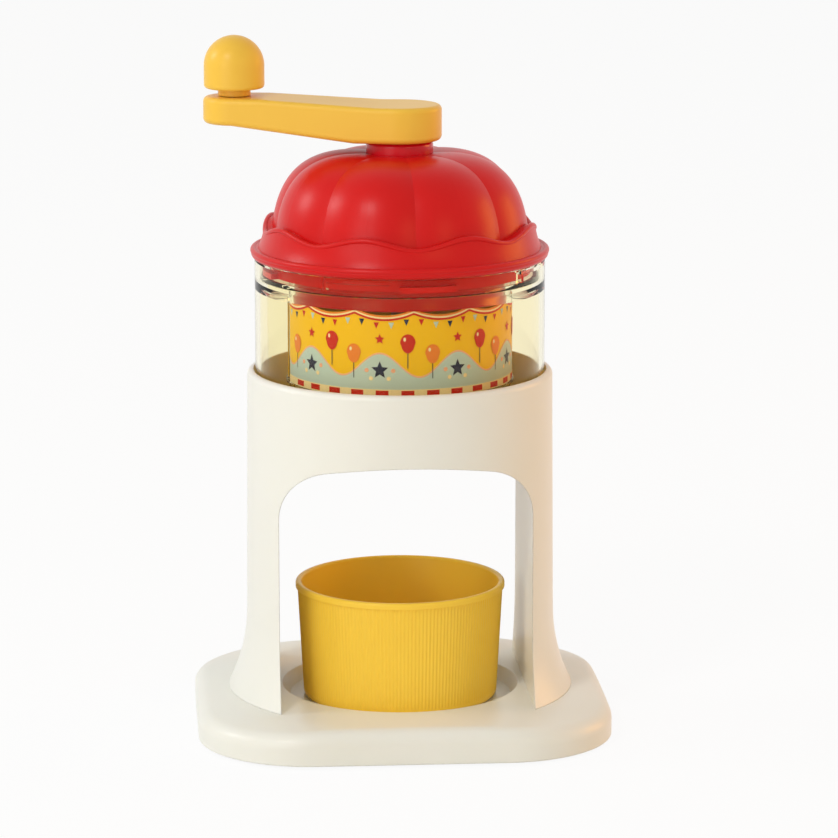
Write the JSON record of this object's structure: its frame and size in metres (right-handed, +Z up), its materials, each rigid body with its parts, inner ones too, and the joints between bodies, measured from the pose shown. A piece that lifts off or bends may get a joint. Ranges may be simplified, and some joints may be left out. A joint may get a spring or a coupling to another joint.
{
  "type": "hand cranked ice shaver",
  "caption": "Countertop ice shaver: arched stand, clear ice hopper with printed band, lobed lid, crank-driven spiked presser over a blade, and a ribbed cup below.",
  "frame": {"origin": "on the crank axis in the plane of the table, under the centre of the cup", "axes": "+Z up along the crank axis, front of the arch towards -Y, crank arm pointing towards -X at rest"},
  "size_m": [0.176, 0.16, 0.2951],
  "materials": {
    "white_plastic": "satin moulded ABS",
    "grey_rubber": "matte moulded",
    "steel": "plated",
    "blade_steel": "ground",
    "clear_plastic": "clear moulded",
    "printed_film": "printed, satin",
    "red_plastic": "satin moulded",
    "red_gloss": "glossy",
    "nylon": "natural",
    "yellow_plastic": "satin moulded",
    "cup_plastic": "satin, finely ribbed"
  },
  "bodies": {
    "stand": {"base_tray": "white_plastic", "rubber_feet": "grey_rubber", "base_screws": "steel", "stand_tower": "white_plastic"},
    "hopper_unit": {"outer_case": "clear_plastic", "ice_hopper": "clear_plastic", "printed_sleeve": "printed_film", "blade_plate": "white_plastic", "shaving_blade": "blade_steel", "blade_screws": "steel", "plate_screws": "steel"},
    "lid": {"lid_dome": "red_plastic", "lid_ring": "red_plastic", "lid_screws": "steel", "top_collar": "red_gloss", "shaft_bush": "nylon"},
    "crank": {"crank_arm": "yellow_plastic", "drive_tube": "steel", "crank_screw": "steel", "thrust_washers": "steel", "retaining_clip": "steel", "knob_pin": "steel", "presser_spring": "steel"},
    "presser": {"presser_stem": "steel", "ice_presser": "white_plastic", "presser_screw": "steel"},
    "knob": {"crank_knob": "yellow_plastic"},
    "cup": {"ice_cup": "cup_plastic"}
  },
  "joints": [
    {"name": "hopper_lift", "type": "slide", "parent": "stand", "child": "hopper_unit", "axis": [0, 0, 1], "range_m": [0, 0.06]},
    {"name": "lid_lift", "type": "slide", "parent": "hopper_unit", "child": "lid", "axis": [0, 0, 1], "range_m": [0, 0.09]},
    {"name": "crank_turn", "type": "hinge", "parent": "lid", "child": "crank", "pos_m": [0, 0, 0.258], "axis": [0, 0, 1], "continuous": true},
    {"name": "knob_spin", "type": "hinge", "parent": "crank", "child": "knob", "pos_m": [-0.06913, 0.01219, 0.28], "axis": [0, 0, 1], "continuous": true},
    {"name": "presser_feed", "type": "slide", "parent": "crank", "child": "presser", "axis": [0, 0, 1], "range_m": [0, 0.034], "stiffness_N_per_m": 120, "springref_m": -0.02, "deforming": ["presser_spring"]},
    {"name": "cup_slide", "type": "slide", "parent": "stand", "child": "cup", "axis": [0, -0.8944, 0.4472], "range_m": [0, 0.16]}
  ]
}
